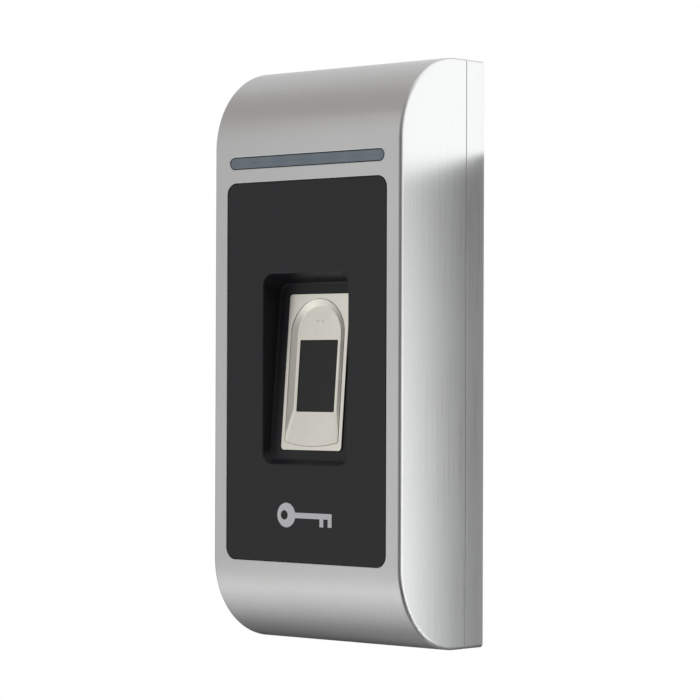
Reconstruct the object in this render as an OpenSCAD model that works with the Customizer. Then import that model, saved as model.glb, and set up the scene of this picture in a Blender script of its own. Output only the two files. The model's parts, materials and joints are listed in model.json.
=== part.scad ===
// Wall-mounted fingerprint scanner terminal, in millimetres.
// +X is to the right as seen from the front, +Y goes into the wall, +Z is up.
// The origin is the middle of the back face, on the wall plane.

/* [Body] */
// Overall width
body_w = 64; // [60:1:80]
// Overall height
body_h = 148; // [140:1:180]
// Overall depth, from the wall to the flat front face
body_d = 32; // [31:0.5:38]
// Radius of the big rounds that bring the front into the top and the bottom
front_r = 21.5; // [17.5:0.5:22]
// Small round along the cover's side edges
edge_r = 1; // [0.6:0.1:1.6]
// Depth of the rear tray that stays on the wall
base_d = 7; // [6:0.5:8.5]
// Thickness of the cover's side, top and bottom walls
cover_wall = 2.2; // [2:0.1:2.4]
// Thickness of the cover's front wall
front_wall = 3; // [2.8:0.1:3.2]

/* [Front panel] */
// Cover left on each side of the panel
panel_side = 4.7; // [4.5:0.1:6]
// Distance from the top of the body down to the panel
panel_top = 30.2; // [29.5:0.1:34]
// Distance from the bottom of the body up to the panel
panel_bottom = 21.2; // [21:0.1:26]
// Corner radius of the panel
panel_r = 3; // [2:0.5:4]

/* [Light bar] */
// Cover left on each side of the light bar
light_side = 5.6; // [5:0.1:8]
// Height of the light bar
light_h = 3; // [2.5:0.1:3.6]
// Distance from the top of the body down to the middle of the light bar
light_drop = 25.1; // [24.8:0.1:25.6]

/* [Finger pocket] */
// Depth of the pocket floor at the middle of the sensor
pocket_depth = 4.4; // [3.8:0.1:5.2]
// Lean of the pocket floor: the top is deeper than the bottom
pocket_tilt = 4.8; // [3:0.1:6]
// Pocket left on each side of the sensor frame, at the front face
pocket_border = 4.15; // [3.6:0.05:5]

/* [Sensor] */
// Width of the sensing window
window_w = 12.8; // [10.5:0.1:15.6]
// Height of the sensing window
window_h = 18.2; // [15:0.1:22]
// Depth of the finger scoop in the sensor frame
scoop_depth = 0.7; // [0.6:0.1:1.6]

/* [Wall fixings] */
// Sideways spacing of the four wall screws
wall_screw_x = 42; // [36:1:46]
// Diameter of the wall screw holes
wall_screw_d = 4.5; // [4:0.1:5.5]
// Vertical spacing of the two holes for a flush wall box
box_screw_z = 83.3; // [60:0.1:84]
// Diameter of the wall box screw holes
box_screw_d = 4; // [3.5:0.1:4.5]
// Bore of the cable grommet
cable_d = 7; // [6:0.5:8]

/* [Hidden] */
$fn = 64;

half_w = body_w / 2;
half_h = body_h / 2;
front_y = -body_d;

// The cover and the tray part at the seam. The cover swings about the seam's top edge.
seam_gap = 0.16;
seam_y = -base_d;
cover_back = seam_y - seam_gap / 2;
base_front = seam_y + seam_gap / 2;

// Middle of the big round, and the cover's outer surface at a height z
arc_y = front_y + front_r;
arc_z = half_h - front_r;
function skin_y(z) = arc_y - sqrt(pow(front_r, 2) - pow(max(0, abs(z) - arc_z), 2));
function skin_z(y) = arc_z + sqrt(pow(front_r, 2) - pow(min(0, y - arc_y), 2));

// Rear tray
plate_t = 2.2;
tongue_t = 1.2;
tongue_gap = 0.25;
tongue_reach = 2;
tongue_w = body_w - 2 * (cover_wall + tongue_gap);
tongue_h = body_h - 2 * (cover_wall + tongue_gap);
tongue_stop = 6;
seal_w = 1;
seal_t = 1;
seal_inset = 1.1;

// Hooks at the top of the tray, and the lips of the cover that hang behind them
lip_r = 5;
hook_in = lip_r + 0.3;
hook_out = hook_in + 1.6;
hook_top = cover_wall + 1.1;
hook_x = 15;
hook_w = 9;

// Grub screw that locks the cover's bottom, and the tray's lug above it
grub_r = 2;
grub_l = 5.4;
grub_y = seam_y - 5;
grub_boss_r = 4.5;
grub_boss_top = -half_h + 6.2;
lug_bottom = grub_boss_top + 0.8;
lug_h = 5.5;
lug_front = grub_y - 4;

// Front panel
panel_gap = 0.15;
panel_open_w = body_w - 2 * panel_side;
panel_open_h = body_h - panel_top - panel_bottom;
panel_z = (panel_bottom - panel_top) / 2;
panel_w = panel_open_w - 2 * panel_gap;
panel_h = panel_open_h - 2 * panel_gap;
panel_recess = 0.1;
panel_t = 1.4;
gasket_t = 0.3;
panel_face = front_y + panel_recess;
panel_back = panel_face + panel_t;
ledge_y = panel_back + gasket_t;
ledge_w = 1.7;

// Light bar and the board behind it
light_w = body_w - 2 * light_side;
light_z = half_h - light_drop;
light_gap = 0.1;
light_flange_h = light_h + 3;
light_flange_t = 1.4;
inner_front = front_y + front_wall;
led_t = 1.2;
led_board_front = inner_front + light_flange_t + led_t;
led_board_t = 1;
led_board_h = 9.2;
led_board_z = light_z + 1.1;
led_post_z = light_z + 4.4;
led_post_x = 8;
led_count = 6;

// Sensor frame, measured along the leaning pocket floor
scoop_wall = 1.8;
scoop_margin = 1.4;
bezel_rim = 0.75;
bezel_over = 11.75;
bezel_under = 9.85;
bezel_w = window_w + 2 * (scoop_margin + scoop_wall + bezel_rim);
bezel_h = window_h + bezel_over + bezel_under;
window_s = (bezel_under - bezel_over) / 2;
bezel_proud = 0.4;
bezel_gap = 0.1;
bezel_r = 1;
arch_r = bezel_w / 2 - bezel_rim;
arch_s = bezel_h / 2 - 1.3 - arch_r;
floor_t = 1.6;
seat_t = -floor_t - gasket_t;
flange_t = 1;
flange_w = bezel_w + 3.8;
flange_h = bezel_h + 3.2;
board_t = seat_t - flange_t;
sensor_board_t = 1.2;
sensor_board_w = bezel_w + 21.3;
sensor_board_h = bezel_h - 1.8;
chip_w = window_w + 1.8;
chip_h = window_h + 1.8;

// Finger pocket
pocket_w = bezel_w + 2 * pocket_border;
pocket_h = bezel_h + 8.7;
pocket_z = panel_z + 0.6;
pocket_r = 3.2;
pocket_wall = 1.6;
bezel_z = pocket_z - 0.75;
floor_w = pocket_w - 1.2;
floor_h = pocket_h - 3.3;
floor_s = 0.25;
floor_y = front_y + pocket_depth;
// Y and Z of a point s up along the pocket floor and t out of it
function floor_point_y(s, t) = floor_y + s * sin(pocket_tilt) - t * cos(pocket_tilt);
function floor_point_z(s, t) = bezel_z + s * cos(pocket_tilt) + t * sin(pocket_tilt);

sensor_post_x = pocket_w / 2 + 4.1;
sensor_post_s = sensor_board_h / 2 - 4.5;
sensor_post_r = 2.2;
sensor_thread_r = 1;

// Main board, carried by four bosses of the cover
main_t = 1.6;
main_back = seam_y - 6;
main_front = main_back - main_t;
main_w = body_w - 12;
main_top = half_h - 12;
main_bottom = -half_h + 16;
boss_x = main_w / 2 - 6;
boss_top_z = main_top - 4;
boss_bottom_z = main_bottom + 3.2;
boss_r = 3;
board_screw_r = 1.25;

// Wires' terminal block, on the back of the main board
terminal_z = -44;
terminal_w = 36;
terminal_h = 9;
terminal_t = 8;
terminal_count = 8;
terminal_pitch = 4.2;

// Ribbon between the sensor board and the main board
ribbon_w = 12;
ribbon_t = 0.3;
socket_w = 16;
socket_h = 4;
socket_t = 1.4;
socket_s = -sensor_board_h / 2 + 3;
ribbon_y = floor_point_y(socket_s - socket_h / 2, board_t - sensor_board_t - socket_t / 2);
ribbon_z = floor_point_z(socket_s - socket_h / 2, board_t - sensor_board_t - socket_t) - 0.05;
ribbon_drop = 5;
ribbon_end_y = main_front - 1.8;
ribbon_r1 = min(3, (ribbon_end_y - ribbon_y) / 2 - 0.05);
ribbon_r2 = min(2.6, ribbon_r1);
board_socket_t = 2.4;
board_socket_top = ribbon_z - ribbon_drop - ribbon_r1 - ribbon_r2 - 3.4;

// Tamper switch, whose plunger rests on a post of the tray while the cover is shut
tamper_x = -17;
tamper_z = 22;
tamper_body = 7;
tamper_body_t = 5;
plunger_r = 1.4;
plunger_gap = 0.05;
plunger_cap_r = 3;
plunger_cap_t = 1;
plunger_tip = -plate_t - 1.9;
spring_wire_r = 0.2;
spring_r = 2.2;
spring_turns = 3;

// Cable grommet
cable_z = -22;
grommet_r = 6;
grommet_flange_r = 8.2;
grommet_pocket = 0.9;

// Outlines ---------------------------------------------------------------

// Rectangle with round corners
module rounded_rect(w, h, r) {
    square([w, h - 2 * r], center = true);
    square([w - 2 * r, h], center = true);
    for (x = [-1, 1], y = [-1, 1])
        translate([x * (w / 2 - r), y * (h / 2 - r)]) circle(r);
}

// Slot with round ends
module pill(w, h) {
    square([w - h, h], center = true);
    for (x = [-1, 1]) translate([x * (w - h) / 2, 0]) circle(h / 2);
}

// Frame of an outline: outer size, width of the frame and outer corner radius
module frame_outline(w, h, band, r) {
    difference() {
        rounded_rect(w, h, r);
        rounded_rect(w - 2 * band, h - 2 * band, max(0.3, r - band));
    }
}

// Solid from an outline in X and Z, between two depths
module slab(y_from, y_to) {
    translate([0, y_to, 0]) rotate([90, 0, 0]) linear_extrude(y_to - y_from) children();
}

// Solid from an outline in Y and Z, across a width
module along_x(w) {
    translate([-w / 2, 0, 0]) rotate([90, 0, 90]) linear_extrude(w) children();
}

// Round bar along Y
module bar_y(r, y_from, y_to) {
    translate([0, y_to, 0]) rotate([90, 0, 0]) cylinder(r = r, h = y_to - y_from);
}

// Places children on the leaning pocket floor: X across, Y up the floor, Z out of it
module on_floor() {
    translate([0, floor_y, bezel_z]) rotate([90 - pocket_tilt, 0, 0]) children();
}

// Solid on the pocket floor from an outline, between two heights out of the floor
module floor_slab(t_from, t_to) {
    on_floor() translate([0, 0, t_from]) linear_extrude(t_to - t_from) children();
}

// Four corners of a rectangle, in X and Z
module at_corners(x, z) {
    for (sx = [-1, 1], sz = [-1, 1]) translate([sx * x, 0, sz * z]) children();
}

// Rear tray --------------------------------------------------------------

// Tray with its plate, its rim and the tongue that the cover slides over
module tray() {
    difference() {
        slab(base_front, 0) rounded_rect(body_w, body_h, edge_r);
        slab(base_front - 1, -plate_t)
            square([tongue_w - 2 * tongue_t, tongue_h - 2 * tongue_t], center = true);
        slab(base_front - 1, base_front + seal_t)
            frame_outline(body_w - 2 * seal_inset, body_h - 2 * seal_inset, seal_w, 1.2);
    }
    // The tongue runs down both sides and along the bottom. It stops below the lips, and
    // leaves a notch for the grub screw's boss
    slab(seam_y - tongue_reach, base_front + 1) difference() {
        translate([0, -tongue_stop / 2])
            square([tongue_w, tongue_h - tongue_stop], center = true);
        translate([0, -tongue_stop / 2 + tongue_t])
            square([tongue_w - 2 * tongue_t, tongue_h - tongue_stop], center = true);
        translate([0, -half_h]) square([2 * grub_boss_r + 3, 20], center = true);
    }
}

// Hook that the cover's lip hangs behind, rounded about the swing axis
module tray_hook() {
    along_x(hook_w) {
        intersection() {
            translate([seam_y, half_h]) difference() {
                circle(hook_out);
                circle(hook_in);
            }
            translate([seam_y - hook_out - 1, half_h - hook_out - 1])
                square([hook_out + 1, hook_out + 1 - hook_top]);
        }
        translate([seam_y - 0.5, half_h - hook_out])
            square([base_d + 0.5 - plate_t / 2, hook_out - hook_in]);
    }
}

module base_plate() {
    color([0.62, 0.62, 0.61]) difference() {
        union() {
            tray();
            for (x = [-hook_x, hook_x]) translate([x, 0, 0]) tray_hook();
            // Lug that the grub screw locks into
            translate([-6, lug_front, lug_bottom])
                cube([12, -plate_t / 2 - lug_front, lug_h]);
            // Post under the tamper plunger
            translate([tamper_x, 0, tamper_z])
                bar_y(3.4, plunger_tip + 0.1, -plate_t / 2);
            // Stiffening ribs
            for (x = [-13, 13])
                translate([x - 0.6, -plate_t - 2, -half_h + 24])
                    cube([1.2, 2.5, body_h - 48]);
        }
        at_corners(wall_screw_x / 2, half_h - 18) bar_y(wall_screw_d / 2, -plate_t - 1, 1);
        for (z = [-1, 1]) translate([0, 0, z * box_screw_z / 2])
            bar_y(box_screw_d / 2, -plate_t - 1, 1);
        translate([0, 0, cable_z]) {
            bar_y(grommet_r, -plate_t - 1, 1);
            bar_y(grommet_flange_r + 0.2, -grommet_pocket, 1);
        }
        translate([0, grub_y, lug_bottom - 1]) cylinder(r = grub_r + 0.3, h = lug_h + 2);
    }
}

module cover_seal() {
    color([0.16, 0.16, 0.17]) slab(base_front + 0.05, base_front + seal_t)
        frame_outline(body_w - 2 * seal_inset - 0.1, body_h - 2 * seal_inset - 0.1,
            seal_w - 0.1, 1.15);
}

// Rubber ring in the cable hole, flush with the back face
module cable_grommet() {
    color([0.14, 0.14, 0.15]) translate([0, -0.05, cable_z]) rotate([90, 0, 0])
        rotate_extrude() translate([cable_d / 2, 0]) {
            square([grommet_flange_r - cable_d / 2, grommet_pocket - 0.1]);
            square([grommet_r - 0.1 - cable_d / 2, plate_t + 1.6]);
            translate([0, plate_t]) square([grommet_flange_r - cable_d / 2, 1.6]);
        }
}

// Cover ------------------------------------------------------------------

// Outside of the cover: a straight middle, and at each end a quarter round and a flat
module cover_outside() {
    depth = cover_back - front_y;
    translate([0, 0, -arc_z]) linear_extrude(2 * arc_z) {
        translate([-half_w, front_y + edge_r]) square([body_w, depth - edge_r]);
        translate([-half_w + edge_r, front_y]) square([body_w - 2 * edge_r, depth]);
        for (x = [-1, 1]) translate([x * (half_w - edge_r), front_y + edge_r]) circle(edge_r);
    }
    for (m = [0, 1]) mirror([0, 0, m]) {
        translate([0, arc_y, arc_z]) rotate([0, -90, 0]) rotate([0, 0, -90])
            rotate_extrude(angle = 90) {
                translate([0, -half_w]) square([front_r - edge_r, body_w]);
                translate([0, -half_w + edge_r]) square([front_r, body_w - 2 * edge_r]);
                for (x = [-1, 1])
                    translate([front_r - edge_r, x * (half_w - edge_r)]) circle(edge_r);
            }
        slab(arc_y, cover_back) {
            translate([-half_w, arc_z]) square([body_w, front_r - edge_r]);
            translate([-half_w + edge_r, arc_z]) square([body_w - 2 * edge_r, front_r]);
            for (x = [-1, 1])
                translate([x * (half_w - edge_r), half_h - edge_r]) circle(edge_r);
        }
    }
}

// Hollow of the cover
module cover_inside() {
    r = front_r - cover_wall - 0.4;
    y = inner_front + r;
    z = half_h - cover_wall - r;
    along_x(body_w - 2 * cover_wall) {
        translate([inner_front, -z]) square([cover_back + 1 - inner_front, 2 * z]);
        translate([y, -z - r]) square([cover_back + 1 - y, 2 * (z + r)]);
        for (m = [-1, 1]) translate([y, m * z]) circle(r);
    }
}

// Lip of the cover that hangs behind a tray hook
module cover_lip() {
    along_x(hook_w + 2) intersection() {
        translate([seam_y, half_h]) circle(lip_r);
        translate([seam_y - 3.4, half_h - lip_r])
            square([3.4 - 0.45, lip_r - cover_wall + 0.5]);
    }
}

module front_cover() {
    color([0.69, 0.69, 0.68]) difference() {
        union() {
            difference() {
                cover_outside();
                cover_inside();
            }
            for (x = [-hook_x, hook_x]) translate([x, 0, 0]) cover_lip();
            // Bosses for the main board
            for (x = [-boss_x, boss_x], z = [boss_top_z, boss_bottom_z])
                translate([x, 0, z]) bar_y(boss_r, skin_y(abs(z) + boss_r) + 0.8, main_front);
            // Pegs for the light bar's board
            for (x = [-led_post_x, led_post_x]) translate([x, 0, led_post_z]) {
                bar_y(1.2, skin_y(led_post_z + 1.2) + 0.8, led_board_front);
                bar_y(0.8, led_board_front - 1, led_board_front + led_board_t + 0.4);
            }
            // Boss for the grub screw
            translate([0, grub_y, -skin_z(grub_y - grub_boss_r) + 0.4])
                cylinder(r = grub_boss_r,
                    h = grub_boss_top + skin_z(grub_y - grub_boss_r) - 0.4);
        }
        translate([0, 0, panel_z]) {
            slab(front_y - 1, ledge_y) rounded_rect(panel_open_w, panel_open_h, panel_r);
            slab(front_y - 1, inner_front + 1)
                rounded_rect(panel_open_w - 2 * ledge_w, panel_open_h - 2 * ledge_w, 1.6);
        }
        translate([0, 0, light_z]) slab(front_y - 1, inner_front + 1) pill(light_w, light_h);
        for (x = [-boss_x, boss_x], z = [boss_top_z, boss_bottom_z])
            translate([x, 0, z]) bar_y(board_screw_r, main_front - 9, main_front + 1);
        translate([0, grub_y, -half_h - 1])
            cylinder(r = grub_r + 0.05, h = grub_boss_top + half_h + 2);
    }
}

// Front panel ------------------------------------------------------------

// Drafted tub between the front face and the leaning floor, grown by a margin
module pocket_body(margin, y_from, y_to, t) {
    hull($fn = 32) {
        translate([0, 0, pocket_z]) slab(y_from, y_to)
            rounded_rect(pocket_w + 2 * margin, pocket_h + 2 * margin, pocket_r + margin,
                $fn = 32);
        floor_slab(t, t + 0.1) translate([0, floor_s])
            rounded_rect(floor_w + 2 * margin, floor_h + 2 * margin, pocket_r - 0.8 + margin,
                $fn = 32);
    }
}

module panel_outline(inset) {
    translate([0, panel_z]) rounded_rect(panel_w - 2 * inset, panel_h - 2 * inset,
        panel_r - panel_gap);
}

// Places children at the four fixing points of the sensor board
module at_sensor_posts() {
    on_floor() for (x = [-1, 1], s = [-1, 1])
        translate([x * sensor_post_x, s * sensor_post_s, 0]) children();
}

module front_panel() {
    color([0.14, 0.14, 0.15]) difference() {
        union() {
            slab(panel_face, panel_back) panel_outline(0);
            pocket_body(pocket_wall, panel_back - 0.6, panel_back - 0.5, -floor_t);
            intersection() {
                at_sensor_posts() translate([0, 0, board_t])
                    cylinder(r = sensor_post_r, h = pocket_depth - board_t);
                slab(panel_back - 0.5, main_front) panel_outline(2);
            }
        }
        pocket_body(0, panel_face - 0.5, panel_face, 0);
        floor_slab(-floor_t - 3, 2)
            rounded_rect(bezel_w + 2 * bezel_gap, bezel_h + 2 * bezel_gap, bezel_r);
        at_sensor_posts() translate([0, 0, board_t - 1])
            cylinder(r = sensor_thread_r, h = 4.2);
        slab(panel_face - 1, panel_face + mark_t) key_outline();
    }
}

module panel_gasket() {
    color([0.2, 0.2, 0.2]) slab(panel_back, ledge_y) translate([0, panel_z])
        frame_outline(panel_w - 0.2, panel_h - 0.2, ledge_w - 0.4, panel_r - 0.3);
}

// Key pictogram printed on the panel
mark_t = 0.2;
mark_w = 18.6;
mark_bow_r = 3.1;
mark_z = panel_z - panel_h / 2 + 11.8;
module key_outline() {
    translate([0, mark_z]) {
        translate([-mark_w / 2 + mark_bow_r, 0]) difference() {
            circle(mark_bow_r);
            translate([-0.7, 0]) circle(1.2);
        }
        translate([-mark_w / 2 + 2 * mark_bow_r - 0.6, -0.7])
            square([mark_w - 2 * mark_bow_r + 0.6, 1.4]);
        for (x = [mark_w / 2 - 1.3, mark_w / 2 - 4.1])
            translate([x, -2.7]) square([1.3, 2.5]);
    }
}

module key_mark() {
    color([0.75, 0.76, 0.77]) slab(panel_face, panel_face + mark_t) key_outline();
}

// Light bar --------------------------------------------------------------

module light_bar() {
    color([0.36, 0.4, 0.45]) translate([0, 0, light_z]) {
        slab(front_y + 0.05, inner_front) pill(light_w - 2 * light_gap, light_h - 2 * light_gap);
        slab(inner_front, inner_front + light_flange_t)
            rounded_rect(light_w + 2, light_flange_h, 1);
    }
}

module led_board() {
    color([0.1, 0.35, 0.2]) difference() {
        translate([0, 0, led_board_z]) slab(led_board_front, led_board_front + led_board_t)
            square([light_w, led_board_h], center = true);
        for (x = [-led_post_x, led_post_x]) translate([x, 0, led_post_z])
            bar_y(0.9, led_board_front - 1, led_board_front + led_board_t + 1);
    }
}

module leds() {
    color([0.95, 0.93, 0.85]) for (i = [0 : led_count - 1])
        translate([(i - (led_count - 1) / 2) * light_w / led_count, 0, light_z])
            slab(led_board_front - led_t + 0.1, led_board_front)
                square([3.5, 2.8], center = true);
}

// Pin strip that joins the light bar's board to the main board
module led_header() {
    color([0.12, 0.12, 0.12]) translate([0, 0, led_board_z - 1])
        slab(led_board_front + led_board_t, main_front) square([12, 2.5], center = true);
}

// Sensor -----------------------------------------------------------------

// Scoop outline, drawn in by an inset, with its lower end at height s
module scoop_outline(inset, s, sag) {
    r = arch_r - inset;
    big = (r * r + sag * sag) / (2 * sag);
    hull() {
        translate([0, arch_s]) circle(r, $fn = 48);
        intersection() {
            translate([0, s + big]) circle(big, $fn = 256);
            translate([-r, s]) square([2 * r, sag + 0.2]);
        }
    }
}

module sensor_bezel() {
    lip_s = -bezel_h / 2 + 0.9;
    color([0.79, 0.77, 0.74]) {
        difference() {
            union() {
                floor_slab(seat_t, bezel_proud) rounded_rect(bezel_w, bezel_h, bezel_r);
                floor_slab(board_t, seat_t) rounded_rect(flange_w, flange_h, bezel_r + 0.6);
            }
            on_floor() hull() {
                translate([0, 0, bezel_proud]) linear_extrude(0.2)
                    scoop_outline(0, lip_s, 1.7);
                translate([0, 0, bezel_proud - scoop_depth]) linear_extrude(0.01)
                    scoop_outline(scoop_wall, -window_h / 2 + window_s - 0.5, 0.3);
            }
            floor_slab(board_t - 1, bezel_proud + 1) translate([0, window_s])
                square([window_w, window_h], center = true);
            floor_slab(board_t - 1, seat_t) translate([0, window_s])
                square([chip_w + 0.4, chip_h + 0.4], center = true);
        }
        // Small raised bar above the window
        floor_slab(bezel_proud - scoop_depth - 0.05, bezel_proud - scoop_depth + 0.12)
            translate([0, window_s + window_h / 2 + 2.6]) pill(3, 0.7);
    }
}

module sensor_gasket() {
    color([0.18, 0.18, 0.18]) floor_slab(seat_t, -floor_t) difference() {
        rounded_rect(flange_w - 0.4, flange_h - 0.4, bezel_r + 0.4);
        rounded_rect(bezel_w + 0.4, bezel_h + 0.4, bezel_r);
    }
}

module sensor_chip() {
    color([0.16, 0.16, 0.18]) {
        floor_slab(board_t, seat_t) translate([0, window_s])
            square([chip_w, chip_h], center = true);
        floor_slab(seat_t, bezel_proud - scoop_depth - 0.1) translate([0, window_s])
            square([window_w - 0.2, window_h - 0.2], center = true);
    }
}

module sensor_board() {
    color([0.1, 0.35, 0.2]) difference() {
        floor_slab(board_t - sensor_board_t, board_t)
            rounded_rect(sensor_board_w, sensor_board_h, 1);
        at_sensor_posts() translate([0, 0, board_t - 3]) cylinder(r = 1.2, h = 4);
    }
}

// Pan-head screw seated at the origin, its shank along +Z
module pan_screw(r, length, head_r, head_h) {
    translate([0, 0, -head_h]) difference() {
        cylinder(r = head_r, h = head_h);
        translate([0, 0, -1]) cylinder(r = head_r * 0.45, h = 1 + head_h * 0.6, $fn = 6);
    }
    cylinder(r = r, h = length);
}

module sensor_screws() {
    color([0.75, 0.75, 0.76]) at_sensor_posts() translate([0, 0, board_t - sensor_board_t])
        pan_screw(sensor_thread_r - 0.05, 4, 1.9, 1.3);
}

// Flat cable: down from the sensor board, back, and down into the main board's socket
module ribbon_bend(y, z, r, quarter) {
    intersection() {
        translate([y, z]) difference() {
            circle(r + ribbon_t / 2);
            circle(r - ribbon_t / 2);
        }
        translate([y, z]) rotate(quarter) square(r + 1);
    }
}

module ribbon_cable() {
    z1 = ribbon_z - ribbon_drop;
    z2 = z1 - ribbon_r1;
    y1 = ribbon_y + ribbon_r1;
    y2 = ribbon_end_y - ribbon_r2;
    color([0.85, 0.85, 0.82]) along_x(ribbon_w) {
        translate([ribbon_y - ribbon_t / 2, z1]) square([ribbon_t, ribbon_drop]);
        ribbon_bend(y1, z1, ribbon_r1, 180);
        translate([y1, z2 - ribbon_t / 2]) square([y2 - y1, ribbon_t]);
        ribbon_bend(y2, z2 - ribbon_r2, ribbon_r2, 0);
        translate([ribbon_end_y - ribbon_t / 2, board_socket_top])
            square([ribbon_t, z2 - ribbon_r2 - board_socket_top]);
    }
}

module ribbon_sockets() {
    color([0.9, 0.88, 0.8]) {
        floor_slab(board_t - sensor_board_t - socket_t, board_t - sensor_board_t)
            translate([0, socket_s]) square([socket_w, socket_h], center = true);
        translate([0, 0, board_socket_top - socket_h / 2])
            slab(main_front - board_socket_t, main_front)
                square([socket_w, socket_h], center = true);
    }
}

// Main board -------------------------------------------------------------

module main_board() {
    color([0.08, 0.32, 0.18]) difference() {
        translate([0, 0, (main_top + main_bottom) / 2]) slab(main_front, main_back)
            rounded_rect(main_w, main_top - main_bottom, 2);
        for (x = [-boss_x, boss_x], z = [boss_top_z, boss_bottom_z])
            translate([x, 0, z]) bar_y(1.7, main_front - 1, main_back + 1);
    }
}

module board_screws() {
    color([0.75, 0.75, 0.76])
        for (x = [-boss_x, boss_x], z = [boss_top_z, boss_bottom_z])
            translate([x, main_back, z]) rotate([90, 0, 0])
                pan_screw(board_screw_r - 0.05, main_t + 7, 2.6, 1.8);
}

// Each chip: its middle in X and Z, its width and height, and its thickness
chips = [[-10, 36, 14, 14, 1.4], [9, 34, 8, 10, 1.2], [-12, 14, 10, 7, 1.6],
    [12, 12, 6, 5, 1.5], [-15, -30, 7, 6, 2.2]];
module board_chips() {
    color([0.13, 0.13, 0.14]) for (c = chips)
        translate([c[0], 0, c[1]]) slab(main_front - c[4], main_front)
            square([c[2], c[3]], center = true);
}

module capacitors() {
    color([0.3, 0.32, 0.4]) for (x = [8, 16])
        translate([x, 0, -30]) {
            bar_y(3, main_back + 0.6, main_back + 7);
            slab(main_back, main_back + 0.6) square([6.4, 6.4], center = true);
        }
}

module buzzer() {
    color([0.1, 0.1, 0.1]) translate([14, 0, -46]) difference() {
        bar_y(6, main_front - 4.8, main_front);
        bar_y(1, main_front - 5.8, main_front - 3.5);
    }
}

// Block of wire clamps: a wire mouth on top and a screw behind each one
module terminal_block() {
    color([0.12, 0.4, 0.25]) difference() {
        translate([-terminal_w / 2, main_back, terminal_z - terminal_h / 2])
            cube([terminal_w, terminal_t, terminal_h]);
        for (i = [0 : terminal_count - 1])
            translate([(i - (terminal_count - 1) / 2) * terminal_pitch, 0, terminal_z]) {
                translate([0, main_back + 2.6, 0]) cylinder(r = 1.3, h = terminal_h);
                bar_y(1.5, main_back + terminal_t - 2, main_back + terminal_t + 1);
            }
    }
}

module terminal_screws() {
    color([0.8, 0.8, 0.78]) for (i = [0 : terminal_count - 1])
        translate([(i - (terminal_count - 1) / 2) * terminal_pitch, 0, terminal_z])
            difference() {
                bar_y(1.4, main_back + terminal_t - 2, main_back + terminal_t - 0.4);
                translate([-0.25, main_back + terminal_t - 1, -2]) cube([0.5, 2, 4]);
            }
}

// Tamper switch ----------------------------------------------------------

module tamper_switch() {
    color([0.1, 0.1, 0.12]) translate([tamper_x, 0, tamper_z]) difference() {
        slab(main_back, main_back + tamper_body_t)
            square([tamper_body, tamper_body], center = true);
        bar_y(plunger_r + plunger_gap, main_back + 0.8, main_back + tamper_body_t + 1);
    }
}

// Height that the spring fills between the switch and the plunger's cap
spring_from = main_back + tamper_body_t;
spring_to = plunger_tip - plunger_cap_t;
module tamper_spring() {
    sides = 8;
    rings = spring_turns * 18;
    length = spring_to - spring_from - 2 * spring_wire_r;
    points = [for (i = [0 : rings], j = [0 : sides - 1])
        let (a = 360 * spring_turns * i / rings, b = 360 * j / sides,
            r = spring_r + spring_wire_r * cos(b))
        [r * cos(a), spring_from + spring_wire_r * (1 + sin(b)) + length * i / rings,
            r * sin(a)]];
    sides_faces = [for (i = [0 : rings - 1], j = [0 : sides - 1])
        let (k = (j + 1) % sides)
        [i * sides + j, i * sides + k, (i + 1) * sides + k, (i + 1) * sides + j]];
    ends = [[for (j = [sides - 1 : -1 : 0]) j], [for (j = [0 : sides - 1]) rings * sides + j]];
    color([0.7, 0.7, 0.72]) translate([tamper_x, 0, tamper_z])
        polyhedron(points = points, faces = concat(sides_faces, ends));
}

module tamper_plunger() {
    color([0.85, 0.85, 0.83]) translate([tamper_x, 0, tamper_z]) {
        bar_y(plunger_r, main_back + 1.2, plunger_tip - plunger_cap_t / 2);
        bar_y(plunger_cap_r, plunger_tip - plunger_cap_t, plunger_tip);
    }
}

// Grub screw with a pinned six-sided socket, shown backed out
module security_screw() {
    color([0.55, 0.55, 0.57]) translate([0, grub_y, grub_boss_top - 0.1 - grub_l]) {
        difference() {
            cylinder(r = grub_r, h = grub_l);
            translate([0, 0, -1]) cylinder(r = 1.2, h = 3.2, $fn = 6);
        }
        cylinder(r = 0.4, h = 2.4);
    }
}

base_plate();
cover_seal();
cable_grommet();
front_cover();
front_panel();
panel_gasket();
key_mark();
light_bar();
led_board();
leds();
led_header();
sensor_bezel();
sensor_gasket();
sensor_chip();
sensor_board();
sensor_screws();
ribbon_cable();
ribbon_sockets();
main_board();
board_screws();
board_chips();
capacitors();
buzzer();
terminal_block();
terminal_screws();
tamper_switch();
tamper_spring();
tamper_plunger();
security_screw();
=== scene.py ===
# %% [markdown]
# # Fingerprint scanner terminal
# A slim reader that hangs on the wall beside a door. A metal cover with two big rounds carries a black
# panel, and a finger rests in the nickel frame at the bottom of the panel's pocket.
# This lesson starts from the engineering model, rebuilds the pieces that are seen from outside with their
# small rounds, and gives every part a finish made of shader nodes.

# %% Load the frame
import json
import math
import bmesh
import bpy
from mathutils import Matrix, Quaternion, Vector

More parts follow.
